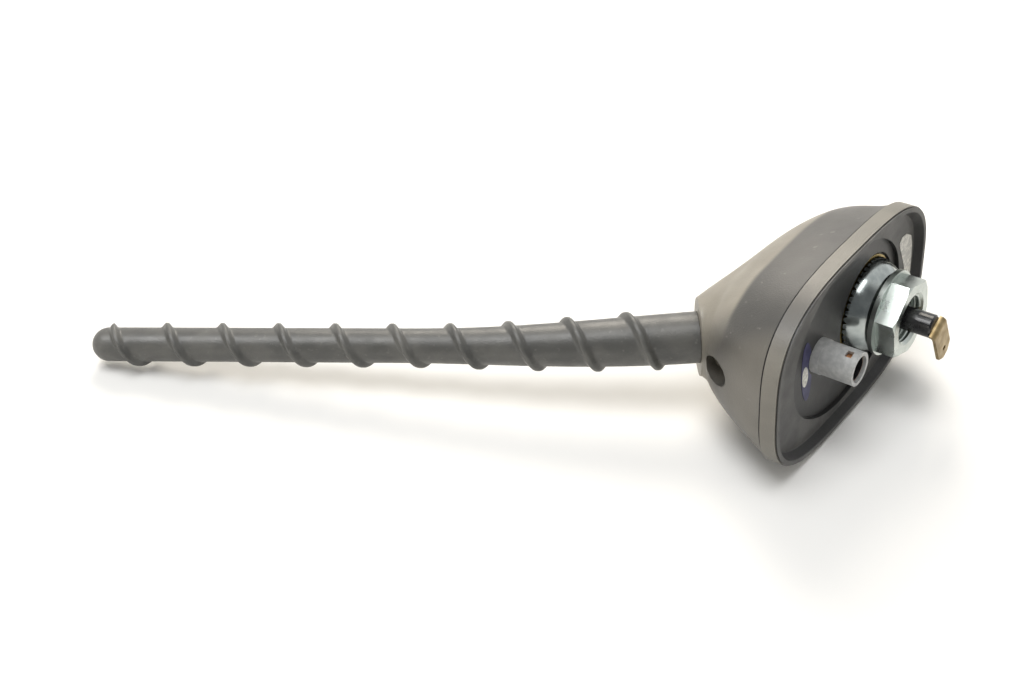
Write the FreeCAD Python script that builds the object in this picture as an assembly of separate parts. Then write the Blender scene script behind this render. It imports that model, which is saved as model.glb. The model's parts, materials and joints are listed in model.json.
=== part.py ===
import FreeCAD, Part
import math
import os

# Roof antenna: a lofted plastic hood on a base moulding, a ribbed rubber mast leaning back
# from the hood's apex, and below the roof a hollow stud with a toothed cup and a nut,
# a blade terminal and a round coaxial connector. Millimetres. The origin is on the stud's
# axis in the plane of the roof skin, +X points to the nose and +Z up out of the roof.

V = FreeCAD.Vector
UP = V(0, 0, 1)
SIDE = V(0, 1, 0)

# Base outline, a rounded oblong in plan
NOSE_X = 25.3
TAIL_X = -50.5
BASE_HALF_WIDTH = 25.0
BASE_SQUARENESS = 3.1
OUTLINE_POINTS = 40

# Base moulding
BAND_BOTTOM = 0.5
BAND_TOP = 4.9
BAND_WALL = 1.3
SEAM_HEIGHT = 0.45
SEAM_DEPTH = 0.7
PLATFORM_Z = 3.6
FLOOR_BOTTOM = 4.6
FLOOR_TOP = 7.0
RING_SEAT_FIT = 0.6

# Rubber seal
LIP_OUTER_INSET = 0.3
LIP_CREST = 1.0
LIP_FOOT_INSET = 2.5
LIP_UNDERCUT = 0.05
SEAL_FACE = 2.4
SEAL_FIT = 0.05
WINDOW_CENTRE_X = -11.5
WINDOW_HALF_LENGTH = 27.0
WINDOW_SIDE_MARGIN = 3.7

# Hood sections, from the seam to the apex: how far each is set in, its height and squareness
HOOD_STEP = 0.5
HOOD_WALL = 2.2
HOOD_FIT = 1.2
WAIST_NOSE_INSET = 2.9
WAIST_TAIL_INSET = 3.3
WAIST_SIDE_INSET = 2.8
WAIST_HEIGHT = 12.0
SHOULDER_NOSE_INSET = 6.1
SHOULDER_TAIL_INSET = 6.3
SHOULDER_SIDE_INSET = 5.4
SHOULDER_NOSE_HEIGHT = 19.6
SHOULDER_TAIL_HEIGHT = 18.6
BROW_NOSE_INSET = 15.8
BROW_TAIL_INSET = 8.7
BROW_SIDE_INSET = 8.2
BROW_NOSE_HEIGHT = 25.2
BROW_TAIL_HEIGHT = 23.2
WAIST_SQUARENESS = 3.1
SHOULDER_SQUARENESS = 3.0
BROW_SQUARENESS = 2.7
COLLAR_HALF_LENGTH = 6.8
COLLAR_HALF_WIDTH = 10.2
COLLAR_SQUARENESS = 2.4
ROOF_STEPS = 3

# Mast: its axis leaves the apex at one lean and straightens to another
MAST_ROOT_FROM_TAIL = 16.8
MAST_ROOT_HEIGHT = 31.1
ROOT_LEAN = math.radians(40.0)
TIP_LEAN = math.radians(32.0)
BEND_LENGTH = 60.0
MAST_LENGTH = 152.4
MAST_ROOT_RADIUS = 6.3
MAST_TIP_RADIUS = 4.3
FLARE_LENGTH = 72.0
MAST_SIDES = 20
DOME_ROWS = 4

# Helical rib round the mast
RIB_PITCH = 14.44
RIB_HEIGHT = 1.2
RIB_SHOULDER_HEIGHT = 0.85
RIB_FOOT_WIDTH = 3.2
RIB_CREST_WIDTH = 1.5
RIB_START = 7.0
RIB_END_GAP = 0.2
RIB_RUN_OUT = 1.6
RIB_PHASE_FROM_TIP = 5.1
RIB_PHASE = math.radians(54.0)

# Mast core
ROD_RADIUS = 1.8
ROD_START = 4.0
ROD_TIP_COVER = 8.4
WINDING_THICKNESS = 0.5
WINDING_START = 10.0
WINDING_TIP_COVER = 14.4
FERRULE_HEAD_RADIUS = 4.4
FERRULE_HEAD_LENGTH = 9.0
FERRULE_STEM_RADIUS = 3.0
FERRULE_STEM_LENGTH = 16.0
MOULDING_GAP = 0.05

# Mast socket and its locking screw
SOCKET_RADIUS = 5.4
SOCKET_TOP = 1.2
SOCKET_LENGTH = 16.0
SLIDE_FIT = 0.05
LOCK_SCREW_Z = 20.6
LOCK_SCREW_RADIUS = 2.0
LOCK_SCREW_LENGTH = 6.4
LOCK_SCREW_KEY = 2.0
LOCK_SCREW_KEY_DEPTH = 2.2
POCKET_FLOOR_X = -37.6
POCKET_HALF_HEIGHT = 3.9
POCKET_HALF_WIDTH = 3.6
POCKET_WALL = 1.6
POCKET_BOSS_END_X = -33.0
SOCKET_BOSS_WALL = 2.0
SOCKET_BOSS_LENGTH = 11.0

# Screws that hold the hood to the base
COVER_SCREW_NOSE_INSET = 11.3
COVER_SCREW_NOSE_SIDE_INSET = 10.5
COVER_SCREW_TAIL_INSET = 10.0
COVER_SCREW_TAIL_SIDE_INSET = 13.5
COVER_BOSS_RADIUS = 3.0
COVER_SCREW_RADIUS = 1.3
COVER_SCREW_HEAD_RADIUS = 2.6
COVER_SCREW_HEAD_HEIGHT = 1.5
COVER_SCREW_LENGTH = 9.0
SCREW_FIT = 0.1

# Hollow stud, contact ring, toothed cup and nut
STUD_RADIUS = 6.0
STUD_BORE_RADIUS = 4.1
STUD_END = -5.0
STUD_CHAMFER = 0.6
STUD_FLANGE_RADIUS = 8.4
STUD_FLANGE_THICKNESS = 1.6
RING_INNER_RADIUS = 7.0
RING_OUTER_RADIUS = 12.9
RING_THICKNESS = 0.6
BODY_GAP = 0.3
CUP_RIM_RADIUS = 12.4
CUP_CROWN_RADIUS = 9.6
CUP_HEIGHT = 5.6
CUP_WALL = 1.2
CUP_BORE_FIT = 0.25
CUP_TEETH = 44
CUP_TOOTH_DEPTH = 1.0
NUT_ACROSS_FLATS = 18.0
NUT_TURN = math.radians(18.0)
NUT_FLANGE_RADIUS = 10.9
NUT_FLANGE_THICKNESS = 1.2
NUT_HEIGHT = 6.2
NUT_GAP = 0.2
NUT_BORE_FIT = 0.06
NUT_MOUTH_RADIUS = 6.8
NUT_CORNER_CHAMFER = 0.9

# Power contact: a black carrier pin with a blade that is bent over at its end
CARRIER_COLLAR_RADIUS = 4.05
CARRIER_COLLAR_END = 2.0
CARRIER_HEAD_RADIUS = 5.6
CARRIER_HEAD_THICKNESS = 1.6
CARRIER_PIN_RADIUS = 2.95
CARRIER_PIN_END = -14.3
CARRIER_CHAMFER = 0.4
BLADE_WIDTH = 6.3
BLADE_THICKNESS = 0.8
BLADE_STEM_WIDTH = 3.0
BLADE_REACH = 12.2
BLADE_BEND_RADIUS = 0.7
BLADE_TIP_CHAMFER = 2.0
BLADE_HOLE_RADIUS = 0.7
BLADE_HOLE_FROM_TIP = 3.0
BLADE_BEARING = math.radians(63.0)
BLADE_SLOT_FIT = 0.05

# Coaxial connector
CONNECTOR_X = -24.6
SHROUD_RADIUS = 4.25
SHROUD_BORE_RADIUS = 3.35
SHROUD_MOUTH = -7.1
SHROUD_BORE_TOP = 1.0
SHROUD_ROOT_RADIUS = 4.4
SHROUD_ROOT_END = 1.6
SHROUD_FLANGE_RADIUS = 6.2
SHROUD_FLANGE_THICKNESS = 1.4
SHROUD_TAIL_RADIUS = 3.6
WINDOW_SLOT_Z = -4.7
WINDOW_SLOT_HEIGHT = 1.6
WINDOW_SLOT_WIDTH = 1.9
WINDOW_SLOT_BEARING = math.radians(256.0)
SLEEVE_WALL = 0.35
SLEEVE_END = -6.2
INSULATOR_END = -1.8
CONTACT_RADIUS = 0.5
CONTACT_END = -2.6
CONNECTOR_FIT = 0.05

# Circuit board and what stands on it
BOARD_NOSE_X = 7.5
BOARD_TAIL_X = -36.0
BOARD_SIDE_INSET = 11.5
BOARD_BOTTOM = 11.0
BOARD_THICKNESS = 1.6
BOARD_CORNER_RADIUS = 3.0
BOARD_HOLE_INSET = 3.2
STANDOFF_RADIUS = 2.2
BOARD_SCREW_RADIUS = 1.0
BOARD_SCREW_HEAD_RADIUS = 2.0
BOARD_SCREW_HEAD_HEIGHT = 1.3
BOARD_SCREW_LENGTH = 4.5
SHIELD_LENGTH = 18.0
SHIELD_WIDTH = 15.0
SHIELD_HEIGHT = 5.0
SHIELD_WALL = 0.4
SHIELD_NOSE_X = 0.0
SPRING_WIDTH = 4.0
SPRING_THICKNESS = 0.4
SPRING_FOOT_LENGTH = 3.4
SPRING_FOOT_X = -21.8
SPRING_CONTACT_OFFSET = 3.2

# Values that follow from the ones above
MAST_ROOT = V(TAIL_X + MAST_ROOT_FROM_TAIL, 0, MAST_ROOT_HEIGHT)
WAIST_NOSE = V(NOSE_X - WAIST_NOSE_INSET, 0, WAIST_HEIGHT)
WAIST_TAIL = V(TAIL_X + WAIST_TAIL_INSET, 0, WAIST_HEIGHT)
WAIST_HALF_WIDTH = BASE_HALF_WIDTH - WAIST_SIDE_INSET
SHOULDER_NOSE = V(NOSE_X - SHOULDER_NOSE_INSET, 0, SHOULDER_NOSE_HEIGHT)
SHOULDER_TAIL = V(TAIL_X + SHOULDER_TAIL_INSET, 0, SHOULDER_TAIL_HEIGHT)
SHOULDER_HALF_WIDTH = BASE_HALF_WIDTH - SHOULDER_SIDE_INSET
BROW_NOSE = V(NOSE_X - BROW_NOSE_INSET, 0, BROW_NOSE_HEIGHT)
BROW_TAIL = V(TAIL_X + BROW_TAIL_INSET, 0, BROW_TAIL_HEIGHT)
BROW_HALF_WIDTH = BASE_HALF_WIDTH - BROW_SIDE_INSET
WINDOW_HALF_WIDTH = BASE_HALF_WIDTH - WINDOW_SIDE_MARGIN
RIB_END = MAST_LENGTH - MAST_TIP_RADIUS - RIB_END_GAP
RIB_PHASE_AT = MAST_LENGTH - RIB_PHASE_FROM_TIP
ROD_END = MAST_LENGTH - ROD_TIP_COVER
WINDING_END = MAST_LENGTH - WINDING_TIP_COVER
BOARD_HALF_WIDTH = BASE_HALF_WIDTH - BOARD_SIDE_INSET
COVER_SCREW_NOSE_X = NOSE_X - COVER_SCREW_NOSE_INSET
COVER_SCREW_NOSE_Y = BASE_HALF_WIDTH - COVER_SCREW_NOSE_SIDE_INSET
COVER_SCREW_TAIL_X = TAIL_X + COVER_SCREW_TAIL_INSET
COVER_SCREW_TAIL_Y = BASE_HALF_WIDTH - COVER_SCREW_TAIL_SIDE_INSET
CUP_RIM_Z = FLOOR_BOTTOM - RING_THICKNESS - BODY_GAP
CUP_CROWN_Z = CUP_RIM_Z - CUP_HEIGHT
NUT_TOP_Z = CUP_CROWN_Z - NUT_GAP
NUT_FACE_Z = NUT_TOP_Z - NUT_HEIGHT
BOARD_TOP = BOARD_BOTTOM + BOARD_THICKNESS
ROOT_AXIS = V(-math.sin(ROOT_LEAN), 0, math.cos(ROOT_LEAN))
ROOT_ACROSS = V(math.cos(ROOT_LEAN), 0, math.sin(ROOT_LEAN))
COVER_SCREW_PLACES = [
    (COVER_SCREW_NOSE_X, COVER_SCREW_NOSE_Y),
    (COVER_SCREW_NOSE_X, -COVER_SCREW_NOSE_Y),
    (COVER_SCREW_TAIL_X, COVER_SCREW_TAIL_Y),
    (COVER_SCREW_TAIL_X, -COVER_SCREW_TAIL_Y),
]
BOARD_SCREW_PLACES = [
    (x, y)
    for x in (BOARD_NOSE_X - BOARD_HOLE_INSET, BOARD_TAIL_X + BOARD_HOLE_INSET)
    for y in (BOARD_HALF_WIDTH - BOARD_HOLE_INSET, BOARD_HOLE_INSET - BOARD_HALF_WIDTH)
]


def cylinder(radius, bottom, top, x=0.0, y=0.0):
    """Upright cylinder between two heights."""
    return Part.makeCylinder(radius, top - bottom, V(x, y, bottom), UP)


def join(first, *others):
    """One solid out of overlapping solids."""
    return first.multiFuse(list(others)).removeSplitter()


def section_wire(nose, tail, half_width, squareness):
    """Closed oblong curve spanning a nose point and a tail point of the middle plane."""
    centre = (nose + tail) * 0.5
    along = nose - centre
    half_length = along.Length
    points = []
    for i in range(OUTLINE_POINTS):
        angle = 2 * math.pi * i / OUTLINE_POINTS
        c = abs(math.cos(angle) / half_length) ** squareness
        s = abs(math.sin(angle) / half_width) ** squareness
        reach = (c + s) ** (-1.0 / squareness)
        run = along * (reach * math.cos(angle) / half_length)
        points.append(centre + run + SIDE * (reach * math.sin(angle)))
    curve = Part.BSplineCurve()
    curve.interpolate(points, PeriodicFlag=True)
    return Part.Wire(curve.toShape())


def base_wire(inset, z):
    """Base outline moved inwards and laid at a height."""
    nose = V(NOSE_X - inset, 0, z)
    tail = V(TAIL_X + inset, 0, z)
    return section_wire(nose, tail, BASE_HALF_WIDTH - inset, BASE_SQUARENESS)


def base_prism(inset, bottom, top):
    """Solid on the base outline between two heights."""
    return Part.Face(base_wire(inset, bottom)).extrude(UP * (top - bottom))


def hood_sections(inset):
    """Hood section curves from the seam up to the crest, moved inwards by a wall."""
    back = V(inset, 0, 0)
    return [
        base_wire(HOOD_STEP + inset, BAND_TOP),
        section_wire(WAIST_NOSE - back, WAIST_TAIL + back, WAIST_HALF_WIDTH - inset, WAIST_SQUARENESS),
        section_wire(
            SHOULDER_NOSE - back - UP * (inset / 2),
            SHOULDER_TAIL + back - UP * (inset / 2),
            SHOULDER_HALF_WIDTH - inset,
            SHOULDER_SQUARENESS,
        ),
        section_wire(
            BROW_NOSE - back - UP * inset,
            BROW_TAIL + back - UP * inset,
            BROW_HALF_WIDTH - inset,
            BROW_SQUARENESS,
        ),
    ]


def roof_sections():
    """Hood section curves from above the brow to the round apex, evenly blended."""
    apex_nose = MAST_ROOT + ROOT_ACROSS * COLLAR_HALF_LENGTH
    apex_tail = MAST_ROOT - ROOT_ACROSS * COLLAR_HALF_LENGTH
    wires = []
    for i in range(1, ROOF_STEPS + 1):
        share = i / ROOF_STEPS
        nose = BROW_NOSE + (apex_nose - BROW_NOSE) * share
        tail = BROW_TAIL + (apex_tail - BROW_TAIL) * share
        half_width = BROW_HALF_WIDTH + (COLLAR_HALF_WIDTH - BROW_HALF_WIDTH) * share
        squareness = BROW_SQUARENESS + (COLLAR_SQUARENESS - BROW_SQUARENESS) * share
        wires.append(section_wire(nose, tail, half_width, squareness))
    return wires


def axis_frame(s):
    """Point, direction and forward normal of the mast's axis at a distance from its root."""
    bend_radius = BEND_LENGTH / (ROOT_LEAN - TIP_LEAN)
    bent = min(max(s, 0.0), BEND_LENGTH)
    lean = ROOT_LEAN - bent / bend_radius
    over = bend_radius * (math.cos(ROOT_LEAN) - math.cos(lean))
    rise = bend_radius * (math.sin(ROOT_LEAN) - math.sin(lean))
    direction = V(-math.sin(lean), 0, math.cos(lean))
    across = V(math.cos(lean), 0, math.sin(lean))
    return MAST_ROOT + V(over, 0, rise) + direction * (s - bent), direction, across


def mast_radius(s):
    """Sheath radius without the rib: flared at the root, even above, domed at the tip."""
    flare = 0.5 + 0.5 * math.cos(math.pi * min(s / FLARE_LENGTH, 1.0))
    return MAST_TIP_RADIUS + (MAST_ROOT_RADIUS - MAST_TIP_RADIUS) * flare


def mast_path(start, end):
    """Axis of the mast between two distances: the bent run, then the straight one."""
    edges = []
    if start < BEND_LENGTH:
        stop = min(end, BEND_LENGTH)
        middle = axis_frame((start + stop) / 2)[0]
        edges.append(Part.Arc(axis_frame(start)[0], middle, axis_frame(stop)[0]).toShape())
    if end > BEND_LENGTH:
        first = max(start, BEND_LENGTH)
        edges.append(Part.LineSegment(axis_frame(first)[0], axis_frame(end)[0]).toShape())
    return Part.Wire(edges)


def mast_tube(radius, start, end):
    """Round bar that follows the mast's axis."""
    point, direction, across = axis_frame(start)
    profile = Part.Wire(Part.makeCircle(radius, point, direction))
    return mast_path(start, end).makePipeShell([profile], True, True)


def root_cylinder(radius, start, end):
    """Cylinder on the mast's axis at the root, measured along it from the apex."""
    return Part.makeCylinder(radius, end - start, MAST_ROOT + ROOT_AXIS * start, ROOT_AXIS)


def mast_point(s, turn, height):
    """Point of the sheath's surface at a distance, an angle round the axis and a height."""
    point, direction, across = axis_frame(s)
    outward = across * math.cos(turn) - SIDE * math.sin(turn)
    return point + outward * (mast_radius(s) + height)


def rib_share(s):
    """How much of its height the rib has at a distance: it runs out at both ends."""
    rise = (s - RIB_START) / RIB_RUN_OUT
    fall = (RIB_END - s) / RIB_RUN_OUT
    return min(max(min(rise, fall), 0.0), 1.0)


def ribbed_sheath():
    """Sheath with its rib: rows of facets that climb with the rib, closed at both ends."""
    straight_end = MAST_LENGTH - MAST_TIP_RADIUS
    valley = RIB_PITCH - RIB_FOOT_WIDTH
    rows = [
        (-RIB_FOOT_WIDTH / 2, 0.0),
        (-RIB_CREST_WIDTH / 2, RIB_SHOULDER_HEIGHT),
        (0.0, RIB_HEIGHT),
        (RIB_CREST_WIDTH / 2, RIB_SHOULDER_HEIGHT),
        (RIB_FOOT_WIDTH / 2, 0.0),
        (RIB_FOOT_WIDTH / 2 + valley / 2, 0.0),
    ]
    turns = int(MAST_LENGTH / RIB_PITCH) + 3

    def vertex(row, column):
        """Surface point of a row and a column, held between the two ends."""
        whole, part = divmod(row, len(rows))
        offset, height = rows[part]
        turn = 2 * math.pi * column / MAST_SIDES
        lag = RIB_PITCH * (turn - RIB_PHASE) / (2 * math.pi)
        base = RIB_PHASE_AT - RIB_PITCH * (turns - 1) - lag
        s = base + RIB_PITCH * whole + offset
        s = min(max(s, 0.0), straight_end)
        return mast_point(s, turn, height * rib_share(s))

    def tip_vertex(ring, column):
        """Point of the domed tip: ring 0 is its foot and the last ring its pole."""
        rise = math.pi / 2 * ring / DOME_ROWS
        point, direction, across = axis_frame(straight_end)
        turn = 2 * math.pi * column / MAST_SIDES
        outward = across * math.cos(turn) - SIDE * math.sin(turn)
        reach = outward * math.cos(rise) + direction * math.sin(rise)
        return point + reach * MAST_TIP_RADIUS

    faces = []

    def add_face(corners):
        """Flat facet through three corners, left out where two of them meet."""
        a, b, c = corners
        if (b - a).cross(c - a).Length > 1e-6:
            faces.append(Part.Face(Part.makePolygon([a, b, c, a])))

    for row in range(len(rows) * (turns + 1)):
        for column in range(MAST_SIDES):
            low = vertex(row, column)
            low_next = vertex(row, column + 1)
            high = vertex(row + 1, column)
            high_next = vertex(row + 1, column + 1)
            add_face([low, low_next, high_next])
            add_face([low, high_next, high])
    for column in range(MAST_SIDES):
        add_face([MAST_ROOT, mast_point(0.0, 2 * math.pi * column / MAST_SIDES, 0.0),
                  mast_point(0.0, 2 * math.pi * (column + 1) / MAST_SIDES, 0.0)])
        for ring in range(DOME_ROWS):
            low = tip_vertex(ring, column)
            low_next = tip_vertex(ring, column + 1)
            high = tip_vertex(ring + 1, column)
            high_next = tip_vertex(ring + 1, column + 1)
            add_face([low, low_next, high_next])
            add_face([low, high_next, high])
    shell = Part.makeShell(faces)
    shell.sewShape()
    solid = Part.makeSolid(shell)
    if solid.Volume < 0:
        solid.reverse()
    return solid


def make_cover():
    """Hood: lofted shell with screw bosses, a bore for the mast socket and a screw pocket."""
    outer = Part.makeLoft(hood_sections(0.0) + roof_sections(), True, False)
    cavity = Part.makeLoft(hood_sections(HOOD_WALL), True, False)
    bosses = [cylinder(COVER_BOSS_RADIUS, FLOOR_TOP, BROW_NOSE.z, x, y) for x, y in COVER_SCREW_PLACES]
    bosses.append(root_cylinder(SOCKET_RADIUS + SOCKET_BOSS_WALL, -SOCKET_BOSS_LENGTH, 0.0))
    bosses.append(screw_pocket(POCKET_WALL, POCKET_BOSS_END_X))
    for boss in bosses:
        cavity = cavity.cut(boss)
    cuts = [cavity, root_cylinder(SOCKET_RADIUS + SLIDE_FIT, -SOCKET_TOP - SOCKET_LENGTH, -SOCKET_TOP)]
    cuts.append(root_cylinder(FERRULE_STEM_RADIUS + SLIDE_FIT, -SOCKET_TOP, 0.0))
    for x, y in COVER_SCREW_PLACES:
        cuts.append(cylinder(COVER_SCREW_RADIUS + SCREW_FIT, FLOOR_TOP, screw_top(), x, y))
    cuts.append(screw_pocket(0.0, POCKET_FLOOR_X))
    cuts.append(lock_bar(LOCK_SCREW_RADIUS + SLIDE_FIT, POCKET_FLOOR_X, socket_wall_x()))
    for tool in cuts:
        outer = outer.cut(tool)
    return outer


def screw_top():
    """Height of the cover screws' tips."""
    return PLATFORM_Z + COVER_SCREW_LENGTH


def axis_x_at(z):
    """X of the mast's root axis at a height inside the hood."""
    return MAST_ROOT.x + (MAST_ROOT.z - z) * math.tan(ROOT_LEAN)


def socket_wall_x():
    """X where the locking screw's line has gone through the socket's wall."""
    return axis_x_at(LOCK_SCREW_Z)


def lock_bar(radius, start_x, end_x):
    """Cylinder on the locking screw's line."""
    return Part.makeCylinder(radius, end_x - start_x, V(start_x, 0, LOCK_SCREW_Z), V(1, 0, 0))


def screw_pocket(growth, floor_x):
    """Oval bar from the hood's tail forwards, below the mast: the pocket or its boss."""
    ellipse = Part.Ellipse(V(0, 0, 0), POCKET_HALF_HEIGHT + growth, POCKET_HALF_WIDTH + growth)
    face = Part.Face(Part.Wire(ellipse.toShape()))
    face.rotate(V(0, 0, 0), V(0, 1, 0), 90)
    face.translate(V(floor_x, 0, LOCK_SCREW_Z))
    return face.extrude(V(TAIL_X - floor_x, 0, 0))


def make_base_plate():
    """Base moulding: outer band, floor that plugs into the hood, standoffs and holes."""
    band = base_prism(0.0, BAND_BOTTOM, BAND_TOP)
    pocket = base_prism(BAND_WALL, BAND_BOTTOM, PLATFORM_Z)
    seam = base_prism(0.0, BAND_TOP - SEAM_HEIGHT, BAND_TOP)
    seam = seam.cut(base_prism(SEAM_DEPTH, BAND_TOP - SEAM_HEIGHT, BAND_TOP))
    plug = base_prism(HOOD_STEP + HOOD_WALL + HOOD_FIT, FLOOR_BOTTOM, FLOOR_TOP)
    standoffs = [cylinder(STANDOFF_RADIUS, FLOOR_BOTTOM, BOARD_BOTTOM, x, y) for x, y in BOARD_SCREW_PLACES]
    plate = join(band.cut(pocket).cut(seam), plug, *standoffs)
    cuts = [
        cylinder(RING_OUTER_RADIUS + RING_SEAT_FIT, PLATFORM_Z, FLOOR_BOTTOM),
        cylinder(STUD_RADIUS + SLIDE_FIT, FLOOR_BOTTOM, FLOOR_TOP),
        cylinder(SHROUD_ROOT_RADIUS + CONNECTOR_FIT, PLATFORM_Z, FLOOR_TOP, CONNECTOR_X),
    ]
    for x, y in COVER_SCREW_PLACES:
        cuts.append(cylinder(COVER_SCREW_RADIUS + SCREW_FIT, PLATFORM_Z, FLOOR_TOP, x, y))
        head_top = PLATFORM_Z + COVER_SCREW_HEAD_HEIGHT
        cuts.append(cylinder(COVER_SCREW_HEAD_RADIUS + SCREW_FIT, PLATFORM_Z, head_top, x, y))
    for x, y in BOARD_SCREW_PLACES:
        tip = BOARD_TOP - BOARD_SCREW_LENGTH
        cuts.append(cylinder(BOARD_SCREW_RADIUS + SCREW_FIT, tip, BOARD_BOTTOM, x, y))
    for tool in cuts:
        plate = plate.cut(tool)
    return plate


def make_seal():
    """Rubber seal: outer lip on the roof, a set-back face and an oval window."""
    lip = base_prism(LIP_OUTER_INSET, 0.0, BAND_BOTTOM - LIP_UNDERCUT)
    body = join(lip, base_prism(BAND_WALL + SEAL_FIT, 0.0, PLATFORM_Z))
    recess = Part.makeLoft(
        [base_wire(LIP_OUTER_INSET + LIP_CREST, 0.0), base_wire(LIP_FOOT_INSET, SEAL_FACE)], True, True
    )
    ellipse = Part.Ellipse(V(WINDOW_CENTRE_X, 0, 0), WINDOW_HALF_LENGTH, WINDOW_HALF_WIDTH)
    window = Part.Face(Part.Wire(ellipse.toShape())).extrude(UP * PLATFORM_Z)
    return body.cut(recess).cut(window)


def make_cover_screws():
    """Four screws from below, their heads sunk in the floor above the seal."""
    screws = []
    for x, y in COVER_SCREW_PLACES:
        head_top = PLATFORM_Z + COVER_SCREW_HEAD_HEIGHT
        head = cylinder(COVER_SCREW_HEAD_RADIUS, PLATFORM_Z, head_top, x, y)
        screws.append(head.fuse(cylinder(COVER_SCREW_RADIUS, head_top, screw_top(), x, y)).removeSplitter())
    return Part.makeCompound(screws)


def make_stud():
    """Hollow stud with a flange on the floor inside the hood."""
    barrel = cylinder(STUD_RADIUS, STUD_END, FLOOR_TOP)
    ends = [edge for edge in barrel.Edges if abs(edge.BoundBox.ZMax - STUD_END) < 1e-6]
    barrel = barrel.makeChamfer(STUD_CHAMFER, ends)
    top = FLOOR_TOP + STUD_FLANGE_THICKNESS
    stud = join(barrel, cylinder(STUD_FLANGE_RADIUS, FLOOR_TOP, top))
    return stud.cut(cylinder(STUD_BORE_RADIUS, STUD_END, top))


def make_contact_ring():
    """Flat ring round the stud that the cup's teeth bear on before fitting."""
    bottom = FLOOR_BOTTOM - RING_THICKNESS
    ring = cylinder(RING_OUTER_RADIUS, bottom, FLOOR_BOTTOM)
    return ring.cut(cylinder(RING_INNER_RADIUS, bottom, FLOOR_BOTTOM))


def make_toothed_cup():
    """Domed steel cup, open upwards, with teeth round its rim."""
    bore = STUD_RADIUS + CUP_BORE_FIT
    rim = CUP_RIM_Z
    crown = CUP_CROWN_Z
    bulge = V(CUP_RIM_RADIUS - (CUP_RIM_RADIUS - CUP_CROWN_RADIUS) * 0.3, 0, (rim + crown) / 2)
    outer = Part.Arc(V(CUP_RIM_RADIUS, 0, rim), bulge, V(CUP_CROWN_RADIUS, 0, crown)).toShape()
    inner_rim = V(CUP_RIM_RADIUS - CUP_WALL, 0, rim)
    inner_foot = V(CUP_CROWN_RADIUS - CUP_WALL, 0, crown + CUP_WALL)
    inner = Part.Arc(inner_foot, bulge - V(CUP_WALL, 0, -CUP_WALL / 2), inner_rim).toShape()
    profile = Part.Wire([
        outer,
        Part.LineSegment(V(CUP_CROWN_RADIUS, 0, crown), V(bore, 0, crown)).toShape(),
        Part.LineSegment(V(bore, 0, crown), V(bore, 0, crown + CUP_WALL)).toShape(),
        Part.LineSegment(V(bore, 0, crown + CUP_WALL), inner_foot).toShape(),
        inner,
        Part.LineSegment(inner_rim, V(CUP_RIM_RADIUS, 0, rim)).toShape(),
    ])
    cup = Part.Face(profile).revolve(V(0, 0, 0), UP, 360)
    half_gap = math.pi * CUP_RIM_RADIUS / CUP_TEETH / 2
    near = CUP_RIM_RADIUS - 2 * CUP_WALL
    corners = [V(near, -half_gap, rim), V(near, half_gap, rim), V(near, 0, rim - CUP_TOOTH_DEPTH)]
    notch = Part.Face(Part.makePolygon(corners + corners[:1])).extrude(V(3 * CUP_WALL, 0, 0))
    notches = []
    for i in range(CUP_TEETH):
        copy = notch.copy()
        copy.rotate(V(0, 0, 0), UP, 360.0 * i / CUP_TEETH)
        notches.append(copy)
    return cup.cut(Part.makeCompound(notches))


def make_nut():
    """Hexagon nut with a round flange that bears on the cup."""
    flange_bottom = NUT_TOP_Z - NUT_FLANGE_THICKNESS
    corner = NUT_ACROSS_FLATS / math.sqrt(3)
    turns = [NUT_TURN + math.pi * i / 3 for i in range(6)]
    points = [V(corner * math.cos(turn), corner * math.sin(turn), NUT_FACE_Z) for turn in turns]
    hexagon = Part.Face(Part.makePolygon(points + points[:1])).extrude(UP * (flange_bottom - NUT_FACE_Z))
    slope = corner - NUT_CORNER_CHAMFER
    cone_height = (flange_bottom - NUT_FACE_Z)
    cone = Part.makeCone(slope, slope + 2 * cone_height, cone_height, V(0, 0, NUT_FACE_Z), UP)
    nut = join(hexagon.common(cone), cylinder(NUT_FLANGE_RADIUS, flange_bottom, NUT_TOP_Z))
    bore = STUD_RADIUS + NUT_BORE_FIT
    mouth = NUT_MOUTH_RADIUS - bore
    nut = nut.cut(cylinder(bore, NUT_FACE_Z, NUT_TOP_Z))
    return nut.cut(Part.makeCone(NUT_MOUTH_RADIUS, bore, mouth, V(0, 0, NUT_FACE_Z), UP))


def blade_frame(shape):
    """Turn a shape made along +X to the blade's bearing."""
    turned = shape.copy()
    turned.rotate(V(0, 0, 0), UP, math.degrees(BLADE_BEARING))
    return turned


def make_contact_carrier():
    """Black carrier: head on the stud's flange, collar in its bore and a long pin."""
    flange_top = FLOOR_TOP + STUD_FLANGE_THICKNESS
    head_top = flange_top + CARRIER_HEAD_THICKNESS
    pin = cylinder(CARRIER_PIN_RADIUS, CARRIER_PIN_END, CARRIER_COLLAR_END)
    ends = [edge for edge in pin.Edges if abs(edge.BoundBox.ZMax - CARRIER_PIN_END) < 1e-6]
    pin = pin.makeChamfer(CARRIER_CHAMFER, ends)
    body = join(
        pin,
        cylinder(CARRIER_COLLAR_RADIUS, CARRIER_COLLAR_END, flange_top),
        cylinder(CARRIER_HEAD_RADIUS, flange_top, head_top),
    )
    slot_x = BLADE_THICKNESS + 2 * BLADE_SLOT_FIT
    slot_y = BLADE_STEM_WIDTH + 2 * BLADE_SLOT_FIT
    corner = V(-slot_x / 2, -slot_y / 2, CARRIER_PIN_END)
    slot = Part.makeBox(slot_x, slot_y, head_top - CARRIER_PIN_END, corner)
    return body.cut(blade_frame(slot))


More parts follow.
